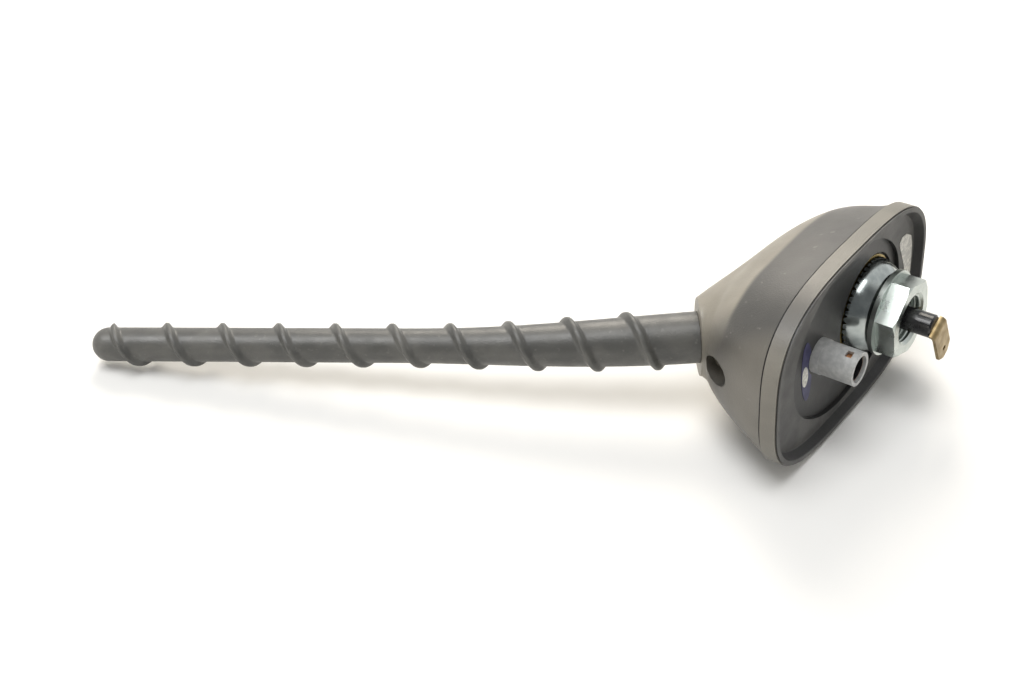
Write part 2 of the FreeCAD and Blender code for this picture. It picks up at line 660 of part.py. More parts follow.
def make_blade():
    """Brass blade: narrow stem through the carrier, bent over below it, with a tab end."""
    half = BLADE_THICKNESS / 2
    bend_top = CARRIER_PIN_END - SLIDE_FIT
    inner = BLADE_BEND_RADIUS
    outer = BLADE_BEND_RADIUS + BLADE_THICKNESS
    centre_x = half + inner
    leaf_top = bend_top - inner
    diagonal = math.sqrt(0.5)
    outline = Part.Wire([
        Part.LineSegment(V(-half, 0, bend_top), V(half, 0, bend_top)).toShape(),
        Part.Arc(V(half, 0, bend_top), V(centre_x - inner * diagonal, 0, bend_top - inner * diagonal),
                 V(centre_x, 0, leaf_top)).toShape(),
        Part.LineSegment(V(centre_x, 0, leaf_top), V(BLADE_REACH, 0, leaf_top)).toShape(),
        Part.LineSegment(V(BLADE_REACH, 0, leaf_top), V(BLADE_REACH, 0, leaf_top - BLADE_THICKNESS)).toShape(),
        Part.LineSegment(V(BLADE_REACH, 0, leaf_top - BLADE_THICKNESS),
                         V(centre_x, 0, leaf_top - BLADE_THICKNESS)).toShape(),
        Part.Arc(V(centre_x, 0, leaf_top - BLADE_THICKNESS),
                 V(centre_x - outer * diagonal, 0, bend_top - outer * diagonal),
                 V(-half, 0, bend_top)).toShape(),
    ])
    leaf = Part.Face(outline).extrude(SIDE * BLADE_WIDTH)
    leaf.translate(V(0, -BLADE_WIDTH / 2, 0))
    edge = BLADE_WIDTH / 2
    for side in (1, -1):
        corner = [V(BLADE_REACH, side * edge, 0), V(BLADE_REACH - BLADE_TIP_CHAMFER, side * edge, 0),
                  V(BLADE_REACH, side * (edge - BLADE_TIP_CHAMFER), 0)]
        wedge = Part.Face(Part.makePolygon(corner + corner[:1])).extrude(UP * (2 * CARRIER_PIN_END))
        leaf = leaf.cut(wedge)
    hole = cylinder(BLADE_HOLE_RADIUS, 2 * CARRIER_PIN_END, 0.0, BLADE_REACH - BLADE_HOLE_FROM_TIP)
    leaf = leaf.cut(hole)
    corner = V(-half, -BLADE_STEM_WIDTH / 2, bend_top)
    stem = Part.makeBox(BLADE_THICKNESS, BLADE_STEM_WIDTH, BOARD_BOTTOM - bend_top, corner)
    return blade_frame(join(leaf, stem))


def make_connector_shroud():
    """Grey connector body: barrel with a window, a root step and a flange on the floor."""
    flange_top = FLOOR_TOP + SHROUD_FLANGE_THICKNESS
    shroud = join(
        cylinder(SHROUD_RADIUS, SHROUD_MOUTH, SHROUD_ROOT_END, CONNECTOR_X),
        cylinder(SHROUD_ROOT_RADIUS, SHROUD_ROOT_END, FLOOR_TOP, CONNECTOR_X),
        cylinder(SHROUD_FLANGE_RADIUS, FLOOR_TOP, flange_top, CONNECTOR_X),
        cylinder(SHROUD_TAIL_RADIUS, flange_top, BOARD_BOTTOM, CONNECTOR_X),
    )
    shroud = shroud.cut(cylinder(SHROUD_BORE_RADIUS, SHROUD_MOUTH, SHROUD_BORE_TOP, CONNECTOR_X))
    shroud = shroud.cut(cylinder(CONTACT_RADIUS + CONNECTOR_FIT, SHROUD_BORE_TOP, BOARD_BOTTOM, CONNECTOR_X))
    corner = V(SHROUD_BORE_RADIUS - SLEEVE_WALL / 2, -WINDOW_SLOT_WIDTH / 2, WINDOW_SLOT_Z - WINDOW_SLOT_HEIGHT / 2)
    slot = Part.makeBox(SHROUD_RADIUS, WINDOW_SLOT_WIDTH, WINDOW_SLOT_HEIGHT, corner)
    slot.rotate(V(0, 0, 0), UP, math.degrees(WINDOW_SLOT_BEARING))
    slot.translate(V(CONNECTOR_X, 0, 0))
    return shroud.cut(slot)


def sleeve_bore():
    """Inner radius of the connector's brass sleeve."""
    return SHROUD_BORE_RADIUS - CONNECTOR_FIT - SLEEVE_WALL


def make_connector_sleeve():
    """Brass sleeve that lines the connector's bore."""
    sleeve = cylinder(SHROUD_BORE_RADIUS - CONNECTOR_FIT, SLEEVE_END, SHROUD_BORE_TOP, CONNECTOR_X)
    return sleeve.cut(cylinder(sleeve_bore(), SLEEVE_END, SHROUD_BORE_TOP, CONNECTOR_X))


def make_connector_insulator():
    """Disc at the bottom of the sleeve that carries the centre contact."""
    disc = cylinder(sleeve_bore() - CONNECTOR_FIT, INSULATOR_END, SHROUD_BORE_TOP, CONNECTOR_X)
    return disc.cut(cylinder(CONTACT_RADIUS + CONNECTOR_FIT, INSULATOR_END, SHROUD_BORE_TOP, CONNECTOR_X))


def make_connector_contact():
    """Centre contact from the board down into the connector."""
    return cylinder(CONTACT_RADIUS, CONTACT_END, BOARD_BOTTOM, CONNECTOR_X)


def make_circuit_board():
    """Board on the standoffs, with rounded corners and screw holes."""
    length = BOARD_NOSE_X - BOARD_TAIL_X
    corner = V(BOARD_TAIL_X, -BOARD_HALF_WIDTH, BOARD_BOTTOM)
    board = Part.makeBox(length, 2 * BOARD_HALF_WIDTH, BOARD_THICKNESS, corner)
    uprights = [edge for edge in board.Edges if abs(edge.tangentAt(edge.FirstParameter).z) > 0.9]
    board = board.makeFillet(BOARD_CORNER_RADIUS, uprights)
    for x, y in BOARD_SCREW_PLACES:
        board = board.cut(cylinder(BOARD_SCREW_RADIUS + SCREW_FIT, BOARD_BOTTOM, BOARD_TOP, x, y))
    return board


def make_board_screws():
    """Screws that hold the board on its standoffs."""
    screws = []
    for x, y in BOARD_SCREW_PLACES:
        head = cylinder(BOARD_SCREW_HEAD_RADIUS, BOARD_TOP, BOARD_TOP + BOARD_SCREW_HEAD_HEIGHT, x, y)
        shank = cylinder(BOARD_SCREW_RADIUS, BOARD_TOP - BOARD_SCREW_LENGTH, BOARD_TOP, x, y)
        screws.append(head.fuse(shank).removeSplitter())
    return Part.makeCompound(screws)


def make_shield():
    """Tinned can over the amplifier, open towards the board."""
    corner = V(SHIELD_NOSE_X - SHIELD_LENGTH, -SHIELD_WIDTH / 2, BOARD_TOP)
    can = Part.makeBox(SHIELD_LENGTH, SHIELD_WIDTH, SHIELD_HEIGHT, corner)
    inner = corner + V(SHIELD_WALL, SHIELD_WALL, 0)
    hollow = Part.makeBox(
        SHIELD_LENGTH - 2 * SHIELD_WALL, SHIELD_WIDTH - 2 * SHIELD_WALL, SHIELD_HEIGHT - SHIELD_WALL, inner
    )
    return can.cut(hollow)


def make_feed_spring():
    """Leaf spring from the board up to the socket's lower face."""
    socket_end = MAST_ROOT - ROOT_AXIS * (SOCKET_TOP + SOCKET_LENGTH)
    touch = socket_end - ROOT_ACROSS * SPRING_CONTACT_OFFSET - ROOT_AXIS * SLIDE_FIT
    foot_start = V(SPRING_FOOT_X + SPRING_FOOT_LENGTH, 0, BOARD_TOP)
    foot_end = V(SPRING_FOOT_X, 0, BOARD_TOP)
    thick = UP * SPRING_THICKNESS
    lean = (touch - foot_end).normalize()
    below = V(-lean.z, 0, lean.x) * SPRING_THICKNESS
    bend = foot_end + thick - below * 0.5
    corners = [foot_start, foot_end, touch + below, touch, bend, foot_start + thick]
    strip = Part.Face(Part.makePolygon(corners + corners[:1])).extrude(SIDE * SPRING_WIDTH)
    strip.translate(V(0, -SPRING_WIDTH / 2, 0))
    return strip


def make_mast_socket():
    """Metal socket in the apex that takes the mast's stem, with a hole for its screw."""
    socket = root_cylinder(SOCKET_RADIUS, -SOCKET_TOP - SOCKET_LENGTH, -SOCKET_TOP)
    stem_end = -FERRULE_STEM_LENGTH - SLIDE_FIT
    socket = socket.cut(root_cylinder(FERRULE_STEM_RADIUS + SLIDE_FIT, stem_end, -SOCKET_TOP))
    return socket.cut(lock_bar(LOCK_SCREW_RADIUS + SLIDE_FIT, TAIL_X, socket_wall_x()))


def make_lock_screw():
    """Headless screw that locks the mast's stem in its socket."""
    tip_x = axis_x_at(LOCK_SCREW_Z) - (FERRULE_STEM_RADIUS + LOCK_SCREW_RADIUS) / math.cos(ROOT_LEAN)
    screw = lock_bar(LOCK_SCREW_RADIUS, tip_x - LOCK_SCREW_LENGTH, tip_x)
    key = Part.makeBox(LOCK_SCREW_KEY_DEPTH, LOCK_SCREW_KEY, LOCK_SCREW_KEY)
    key.translate(V(tip_x - LOCK_SCREW_LENGTH, -LOCK_SCREW_KEY / 2, LOCK_SCREW_Z - LOCK_SCREW_KEY / 2))
    return screw.cut(key)


def make_mast_sheath():
    """Rubber sheath moulded round the core, with its helical rib."""
    sheath = ribbed_sheath()
    head = root_cylinder(FERRULE_HEAD_RADIUS + MOULDING_GAP, 0.0, FERRULE_HEAD_LENGTH + MOULDING_GAP)
    winding = mast_tube(ROD_RADIUS + WINDING_THICKNESS + 2 * MOULDING_GAP, FERRULE_HEAD_LENGTH, WINDING_END)
    rod = mast_tube(ROD_RADIUS + MOULDING_GAP, WINDING_END, ROD_END + MOULDING_GAP)
    return sheath.cut(head).cut(winding).cut(rod)


def make_mast_rod():
    """Glass-fibre rod at the mast's core."""
    return mast_tube(ROD_RADIUS, ROD_START, ROD_END)


def make_mast_winding():
    """Close-wound copper layer on the rod."""
    radius = ROD_RADIUS + MOULDING_GAP
    layer = mast_tube(radius + WINDING_THICKNESS, WINDING_START, WINDING_END)
    return layer.cut(mast_tube(radius, WINDING_START, WINDING_END))


def make_ferrule():
    """Turned end of the mast: a head in the sheath and a stem in the socket."""
    head = root_cylinder(FERRULE_HEAD_RADIUS, 0.0, FERRULE_HEAD_LENGTH)
    ferrule = join(head, root_cylinder(FERRULE_STEM_RADIUS, -FERRULE_STEM_LENGTH, 0.0))
    return ferrule.cut(mast_tube(ROD_RADIUS + MOULDING_GAP, ROD_START, FERRULE_HEAD_LENGTH + ROD_START))


PARTS = {
    "cover": make_cover,
    "base_plate": make_base_plate,
    "seal": make_seal,
    "cover_screws": make_cover_screws,
    "threaded_stud": make_stud,
    "contact_ring": make_contact_ring,
    "toothed_cup": make_toothed_cup,
    "flange_nut": make_nut,
    "contact_carrier": make_contact_carrier,
    "blade_terminal": make_blade,
    "connector_shroud": make_connector_shroud,
    "connector_sleeve": make_connector_sleeve,
    "connector_insulator": make_connector_insulator,
    "connector_contact": make_connector_contact,
    "circuit_board": make_circuit_board,
    "board_screws": make_board_screws,
    "board_shield": make_shield,
    "feed_spring": make_feed_spring,
    "mast_socket": make_mast_socket,
    "lock_screw": make_lock_screw,
    "mast_sheath": make_mast_sheath,
    "mast_rod": make_mast_rod,
    "mast_winding": make_mast_winding,
    "mast_ferrule": make_ferrule,
}

os.makedirs("parts", exist_ok=True)
for name, make in PARTS.items():
    shape = make()
    shape.exportStep("parts/" + name + ".step")
    print(name, "solids", len(shape.Solids), "valid", shape.isValid(), "volume", round(shape.Volume, 1))
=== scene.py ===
# %% [markdown]
# # Roof antenna
# The CAD part is loaded as a fixed frame. This script gives it its materials, builds the pieces
# that are too fine for the CAD, and lays the scene out as in the photo: the antenna rests on its
# side on a pale floor, with the underside turned to the right.

# %% Load the frame
import bpy
import bmesh
import json
import math
from mathutils import Matrix, Vector


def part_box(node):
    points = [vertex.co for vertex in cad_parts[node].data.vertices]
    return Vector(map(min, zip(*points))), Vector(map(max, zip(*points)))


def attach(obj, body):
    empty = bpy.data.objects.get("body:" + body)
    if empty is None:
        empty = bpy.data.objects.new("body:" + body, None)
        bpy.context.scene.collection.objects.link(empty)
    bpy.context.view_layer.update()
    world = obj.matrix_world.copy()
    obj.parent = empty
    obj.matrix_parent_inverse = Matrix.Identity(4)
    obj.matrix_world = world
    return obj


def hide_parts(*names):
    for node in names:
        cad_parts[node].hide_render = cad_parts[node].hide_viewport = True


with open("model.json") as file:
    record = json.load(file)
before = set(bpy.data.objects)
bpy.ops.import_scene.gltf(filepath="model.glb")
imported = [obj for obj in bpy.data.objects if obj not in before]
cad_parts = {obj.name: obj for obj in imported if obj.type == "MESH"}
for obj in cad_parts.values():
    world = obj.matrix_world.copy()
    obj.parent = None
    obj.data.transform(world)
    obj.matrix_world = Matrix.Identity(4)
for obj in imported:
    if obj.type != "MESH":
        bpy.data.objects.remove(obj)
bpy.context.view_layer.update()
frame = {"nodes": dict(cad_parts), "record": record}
MM = 0.001

# %% [markdown]
# ## Finishes
# A finish here is a small node tree on Object coordinates, so it needs no picture and stays with
# the piece. It could be painted on an unwrapped mesh, but a rule is shorter and holds at any size:
# noise makes the colour uneven, a finer noise gives grain as a bump, and a height decides where
# painted shade and painted sheen go. The small class below keeps the node calls short.

# %% Finish helper
class Finish:
    """Material on Object coordinates, with short calls for its nodes."""

    def __init__(self, name, colour, roughness, metallic=0.0):
        self.material = bpy.data.materials.new(name)
        self.material.use_nodes = True
        self.tree = self.material.node_tree
        self.shader = self.tree.nodes["Principled BSDF"]
        self.shader.inputs["Base Color"].default_value = (*colour, 1.0)
        self.shader.inputs["Roughness"].default_value = roughness
        self.shader.inputs["Metallic"].default_value = metallic
        self.coordinates = self.tree.nodes.new("ShaderNodeTexCoord").outputs["Object"]

    def plug(self, socket, value):
        """Link a socket, or give it a plain number or colour."""
        if isinstance(value, bpy.types.NodeSocket):
            self.tree.links.new(value, socket)
        elif isinstance(value, tuple):
            socket.default_value = (*value, 1.0)
        else:
            socket.default_value = value

    def noise(self, scale, detail=2.0, stretch=None):
        """Noise value; stretch squeezes it along the three axes."""
        texture = self.tree.nodes.new("ShaderNodeTexNoise")
        texture.inputs["Scale"].default_value = scale
        texture.inputs["Detail"].default_value = detail
        vector = self.coordinates
        if stretch:
            mapping = self.tree.nodes.new("ShaderNodeMapping")
            mapping.inputs["Scale"].default_value = stretch
            self.tree.links.new(vector, mapping.inputs["Vector"])
            vector = mapping.outputs["Vector"]
        self.tree.links.new(vector, texture.inputs["Vector"])
        return texture.outputs["Fac"]

    def place(self, axis):
        """One coordinate, in metres."""
        split = self.tree.nodes.new("ShaderNodeSeparateXYZ")
        self.tree.links.new(self.coordinates, split.inputs["Vector"])
        return split.outputs[axis]

    def math(self, operation, first, second=0.0):
        """Sum, product and the like of two numbers."""
        node = self.tree.nodes.new("ShaderNodeMath")
        node.operation = operation
        self.plug(node.inputs[0], first)
        self.plug(node.inputs[1], second)
        return node.outputs[0]

    def step(self, value, low, high, most=1.0):
        """Smooth step from 0 at low to most at high."""
        node = self.tree.nodes.new("ShaderNodeMapRange")
        node.interpolation_type = "SMOOTHSTEP"
        self.plug(node.inputs["Value"], value)
        node.inputs["From Min"].default_value = low
        node.inputs["From Max"].default_value = high
        node.inputs["To Max"].default_value = most
        return node.outputs["Result"]

    def mix(self, factor, near, far):
        """Colour between near and far."""
        node = self.tree.nodes.new("ShaderNodeMix")
        node.data_type = "RGBA"
        self.plug(node.inputs["Factor"], factor)
        self.plug(node.inputs[6], near)
        self.plug(node.inputs[7], far)
        return node.outputs[2]

    def mottle(self, scale, near, far, low=0.35, high=0.68, detail=5.0):
        """Colour that wanders between two values."""
        return self.mix(self.step(self.noise(scale, detail), low, high), near, far)

    def paint(self, colour):
        """Use a colour socket as the colour of the surface."""
        self.tree.links.new(colour, self.shader.inputs["Base Color"])

    def rough(self, scale, low, high):
        """Gloss that wanders between two roughness values."""
        node = self.tree.nodes.new("ShaderNodeMapRange")
        self.plug(node.inputs["Value"], self.noise(scale, 4.0))
        node.inputs["From Min"].default_value = 0.3
        node.inputs["From Max"].default_value = 0.7
        node.inputs["To Min"].default_value = low
        node.inputs["To Max"].default_value = high
        self.tree.links.new(node.outputs["Result"], self.shader.inputs["Roughness"])

    def grain(self, height, strength, distance=0.2 * MM):
        """Bump from a value."""
        bump = self.tree.nodes.new("ShaderNodeBump")
        bump.inputs["Strength"].default_value = strength
        bump.inputs["Distance"].default_value = distance
        self.tree.links.new(height, bump.inputs["Height"])
        self.tree.links.new(bump.outputs["Normal"], self.shader.inputs["Normal"])


print("finish helper ready")

# %% [markdown]
# ## Hood plastic
# The hood is a dark grey plastic moulding with a fine grain and a few pale scuffs. Its roof, above
# the crease, is painted paler as a painted sheen, and its tail is painted a little paler as painted
# light from the left. The seam below it is painted near-black as painted shade in the groove. All
# this could be painted on an unwrapped mesh, but the crease and the seam lie at known heights, so
# steps in height are shorter and stay with the moulding.

# %% Hood plastic
CREASE = (18.8 * MM, 20.6 * MM)
CREASE_WANDER = 1.6 * MM
ROOF_BACK = (-45 * MM, -35 * MM)
HOOD_TAIL = (-42 * MM, -48 * MM)
HOOD_SEAM = (5.15 * MM, 4.95 * MM)
hood = Finish("hood_plastic", (0.07, 0.067, 0.062), 0.42)
hood_tone = hood.mottle(70, (0.054, 0.052, 0.048), (0.074, 0.071, 0.065))
# Painted sheen: the roof above the crease is painted a pale warm grey, standing in for light on it.
hood_sheen_tone = hood.mottle(60, (0.21, 0.192, 0.159), (0.27, 0.249, 0.208))
wander = hood.math("MULTIPLY", hood.noise(45, 3.0), CREASE_WANDER)
hood_sheen_mask = hood.step(hood.math("ADD", hood.place("Z"), wander), *CREASE)
hood_sheen_mask = hood.math("MULTIPLY", hood_sheen_mask, hood.step(hood.place("X"), *ROOF_BACK))
# Painted light: the tail is painted a little paler, standing in for the light from the left.
hood_sheen_mask = hood.math("MAXIMUM", hood_sheen_mask, hood.step(hood.place("X"), *HOOD_TAIL, 0.4))
hood_tone = hood.mix(hood_sheen_mask, hood_tone, hood_sheen_tone)
scuffs = hood.step(hood.noise(430, 6.0), 0.66, 0.73, 0.35)
hood_tone = hood.mix(scuffs, hood_tone, (0.24, 0.23, 0.21))
# Painted shade: the seam groove is painted near-black.
seam_shade = hood.step(hood.place("Z"), *HOOD_SEAM)
hood.paint(hood.mix(seam_shade, hood_tone, (0.012, 0.012, 0.012)))
hood.rough(90, 0.36, 0.5)
hood.grain(hood.noise(2600), 0.3)
print("hood plastic made")

# %% [markdown]
# ## Base plastic
# The base is moulded in the same plastic. Its outer band is painted paler at the sides, as a
# painted sheen, and at the tail, as painted light from the left, and near-black in the seam, as
# painted shade. Its underside is painted darker than the band. A line on an unwrapped mesh could
# part the two; a rounded oblong in plan, a little smaller than the base, does it without one.

# %% Base plastic
PLAN_CENTRE, PLAN_LENGTH, PLAN_WIDTH, PLAN_POWER = -12.6 * MM, 37.9 * MM, 25 * MM, 3.1
BAND_EDGE = (0.86, 0.93)
BAND_SIDES = (-40 * MM, -20 * MM)
BAND_TAIL = (-43 * MM, -49 * MM)
BASE_SEAM = (4.4 * MM, 4.55 * MM)
base = Finish("base_plastic", (0.09, 0.086, 0.08), 0.42)
along = base.math("SUBTRACT", base.place("X"), PLAN_CENTRE)
along = base.math("ABSOLUTE", base.math("DIVIDE", along, PLAN_LENGTH))
across = base.math("ABSOLUTE", base.math("DIVIDE", base.place("Y"), PLAN_WIDTH))
along = base.math("POWER", along, PLAN_POWER)
across = base.math("POWER", across, PLAN_POWER)
band = base.step(base.math("ADD", along, across), *BAND_EDGE)
# Painted sheen: the band is painted paler at its sides, and painted light makes its tail paler.
band_sheen_mask = base.step(base.place("X"), *BAND_SIDES)
band_sheen_mask = base.math("MAXIMUM", band_sheen_mask, base.step(base.place("X"), *BAND_TAIL, 0.7))
band_tone = base.mottle(80, (0.085, 0.081, 0.073), (0.115, 0.109, 0.097))
band_sheen_tone = base.mottle(80, (0.17, 0.16, 0.136), (0.21, 0.198, 0.168))
band_tone = base.mix(band_sheen_mask, band_tone, band_sheen_tone)
# Painted shade: the seam is painted near-black.
band_tone = base.mix(base.step(base.place("Z"), *BASE_SEAM), band_tone, (0.01, 0.01, 0.01))
# The underside is painted darker than the band.
underside = base.mottle(120, (0.026, 0.026, 0.026), (0.04, 0.039, 0.037))
base.paint(base.mix(band, underside, band_tone))
base.rough(90, 0.38, 0.5)
base.grain(base.noise(2600), 0.3)
print("base plastic made")

# %% [markdown]
# ## Rubber
# The seal is soft black rubber: its flat faces are dusty and grey, and its walls are painted
# near-black as painted shade. The shade could follow the slope of the surface, but the heights of
# the faces are known, so steps in height pick the walls out. The mast's sheath is the same rubber,
# older, rubbed grey in small patches.

# %% Rubber
LIP_WALL = (0.05 * MM, 0.25 * MM)
PLATFORM_BELOW = (2.35 * MM, 2.1 * MM)
PLATFORM_ABOVE = (2.45 * MM, 2.65 * MM)
seal = Finish("seal_rubber", (0.05, 0.05, 0.05), 0.5)
dusty = seal.mottle(130, (0.06, 0.059, 0.057), (0.098, 0.096, 0.09))
height = seal.place("Z")
# Painted shade: the walls of the lip and of the window are painted near-black.
wall_shade = seal.math("MULTIPLY", seal.step(height, *LIP_WALL), seal.step(height, *PLATFORM_BELOW))
wall_shade = seal.math("ADD", wall_shade, seal.step(height, *PLATFORM_ABOVE))
seal.paint(seal.mix(wall_shade, dusty, (0.01, 0.01, 0.01)))
seal.rough(110, 0.42, 0.58)
seal.grain(seal.noise(1800), 0.25)

mast_rubber = Finish("mast_rubber", (0.07, 0.07, 0.067), 0.42)
mast_tone = mast_rubber.mottle(160, (0.066, 0.066, 0.062), (0.094, 0.093, 0.086))
rubbed = mast_rubber.step(mast_rubber.noise(900, 6.0), 0.62, 0.72, 0.5)
mast_rubber.paint(mast_rubber.mix(rubbed, mast_tone, (0.135, 0.133, 0.125)))
mast_rubber.rough(240, 0.34, 0.5)
mast_rubber.grain(mast_rubber.noise(2200), 0.3)
print("rubber made")

# %% [markdown]
# ## Zinc and steel
# The nut and the cup are steel with bright zinc, which has a faint green cast and dull patches. The
# cup's zinc is painted darker than the nut's, as a painted dark reflection of the room it mirrors.
# The ring above the cup is zinc with a yellow finish, and the hidden steel is plain or tinned. A
# picture of each could be wrapped on, but a metal takes its look from what it mirrors, so each gets
# its own gloss instead, mostly broken by a noise.

# %% Zinc and steel
zinc =Finish("zinc_steel", (0.46, 0.5, 0.47), 0.3, 1.0)
zinc.paint(zinc.mottle(210, (0.4, 0.44, 0.415), (0.53, 0.57, 0.54), 0.3, 0.7))
zinc.rough(260, 0.24, 0.36)
zinc.grain(zinc.noise(900), 0.05)

# Painted dark reflection: the cup's zinc is darker than the nut's, standing in for the dim room it
# mirrors.
shaded_cup_zinc = Finish("shaded_cup_zinc", (0.34, 0.37, 0.36), 0.22, 1.0)
shaded_cup_zinc.paint(shaded_cup_zinc.mottle(240, (0.29, 0.32, 0.315), (0.48, 0.515, 0.5), 0.3, 0.7))
shaded_cup_zinc.rough(300, 0.12, 0.24)
shaded_cup_zinc.grain(shaded_cup_zinc.noise(900), 0.06)

yellow_zinc = Finish("yellow_zinc", (0.42, 0.32, 0.12), 0.45, 1.0)
yellow_zinc.paint(yellow_zinc.mottle(300, (0.34, 0.26, 0.1), (0.48, 0.38, 0.16)))
yellow_zinc.grain(yellow_zinc.noise(900), 0.1)

steel = Finish("plain_steel", (0.5, 0.5, 0.51), 0.4, 1.0)
steel.paint(steel.mottle(260, (0.44, 0.44, 0.45), (0.56, 0.56, 0.57)))
steel.rough(400, 0.3, 0.5)

tinned = Finish("tinned_sheet", (0.62, 0.62, 0.63), 0.35, 1.0)
tinned.paint(tinned.mottle(180, (0.55, 0.55, 0.56), (0.68, 0.68, 0.69)))
tinned.rough(220, 0.28, 0.45)
print("zinc and steel made")

# %% [markdown]
# ## Copper alloys
# The blade and the contacts are brass that has gone brown, and the mast's winding is copper. The
# connector's sleeve is brown outside, where the window shows it, and dark in its bore. It could
# have two materials, but the distance from its axis tells the two apart in one.

# %% Copper alloys
SLEEVE_SKIN = (0.2 * MM, 0.1 * MM)
brass = Finish("brass", (0.36, 0.28, 0.15), 0.45, 1.0)
brass.paint(brass.mottle(330, (0.27, 0.2, 0.1), (0.42, 0.33, 0.19)))
brass.rough(500, 0.38, 0.55)
brass.grain(brass.noise(700), 0.1)

bronze = Finish("sleeve_bronze", (0.4, 0.2, 0.1), 0.4, 1.0)
brown = bronze.mottle(400, (0.32, 0.15, 0.075), (0.48, 0.25, 0.13))
sleeve_low, sleeve_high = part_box("connector_sleeve")
aside = bronze.math("SUBTRACT", bronze.place("X"), (sleeve_low.x + sleeve_high.x) / 2)
beyond = bronze.place("Y")
reach = bronze.math("MULTIPLY", aside, aside)
reach = bronze.math("SQRT", bronze.math("ADD", reach, bronze.math("MULTIPLY", beyond, beyond)))
outer = bronze.step(reach, *(sleeve_high.y - depth for depth in SLEEVE_SKIN))
bronze.paint(bronze.mix(outer, (0.07, 0.07, 0.075), brown))
bronze.rough(500, 0.35, 0.5)

copper = Finish("copper_wire", (0.6, 0.3, 0.17), 0.35, 1.0)
copper.paint(copper.mottle(500, (0.5, 0.24, 0.13), (0.66, 0.35, 0.2)))
copper.grain(copper.noise(300, 1.0, (1.0, 1.0, 12.0)), 0.2)
print("copper alloys made")

# %% [markdown]
# ## Small plastics, board and labels
# The pin is glossy black, the connector's body a satin grey gone gritty, and the board carries a
# green mask. The labels are bare: thin paper, one greyed in fine patches and one dark blue.

# %% Small plastics, board and labels
black_plastic = Finish("black_plastic", (0.015, 0.015, 0.016), 0.2)
black_plastic.paint(black_plastic.mottle(300, (0.011, 0.011, 0.012), (0.02, 0.02, 0.021)))
black_plastic.rough(420, 0.14, 0.26)

grey_plastic = Finish("grey_plastic", (0.24, 0.245, 0.245), 0.36)
grey_plastic.paint(grey_plastic.mottle(900, (0.37, 0.378, 0.376), (0.46, 0.465, 0.46)))
grey_plastic.rough(380, 0.28, 0.45)
grey_plastic.grain(grey_plastic.noise(1500), 0.15)

white_plastic = Finish("white_plastic", (0.8, 0.8, 0.78), 0.5)
white_plastic.paint(white_plastic.mottle(240, (0.76, 0.76, 0.73), (0.83, 0.83, 0.81)))

board_mask = Finish("board_green", (0.04, 0.22, 0.1), 0.35)
board_mask.paint(board_mask.mottle(520, (0.03, 0.18, 0.08), (0.05, 0.25, 0.12), 0.45, 0.55, 0.0))
board_mask.rough(300, 0.28, 0.42)

paper = Finish("label_paper", (0.42, 0.41, 0.37), 0.55)
paper.paint(paper.mottle(1100, (0.55, 0.54, 0.5), (0.78, 0.76, 0.7), 0.4, 0.62))
paper.grain(paper.noise(500), 0.2)

blue_paper = Finish("label_blue", (0.06, 0.06, 0.15), 0.45)
blue_paper.paint(blue_paper.mottle(260, (0.03, 0.029, 0.085), (0.06, 0.058, 0.14)))
print("materials made", len(bpy.data.materials))

# %% [markdown]
# ## Finishes on the CAD nodes
# The record names a finish for every CAD node, so one loop gives each node its material. Three
# nodes get a finish of their own: the base, whose band and underside differ, the connector's
# sleeve, which shows brown in the window of its body, and the cup, whose zinc is painted darker
# than the nut's, as a painted dark reflection, and is glossier.

# %% Finishes on the CAD nodes
SLOTS = {
    "hood_plastic": hood, "seal_rubber": seal, "mast_rubber": mast_rubber, "zinc_steel": zinc,
    "yellow_zinc": yellow_zinc, "plain_steel": steel, "brass": brass, "copper_wire": copper,
    "black_plastic": black_plastic, "grey_plastic": grey_plastic, "white_plastic": white_plastic,
    "board_green": board_mask, "tinned_sheet": tinned,
}
for subpart in frame["record"]["subparts"]:
    node = frame["nodes"][subpart["node"]]
    node.data.materials.clear()
    node.data.materials.append(SLOTS[subpart["material_slot"]].material)
frame["nodes"]["base_plate"].data.materials[0] = base.material
frame["nodes"]["connector_sleeve"].data.materials[0] = bronze.material
frame["nodes"]["toothed_cup"].data.materials[0] = shaded_cup_zinc.material

# %% [markdown]
# ## Geometry Nodes helpers
# A rule-shaped piece is written as a node tree with named inputs, so that its sizes can be read
# and changed in one place. The tree runs once and its result is kept as a plain mesh.

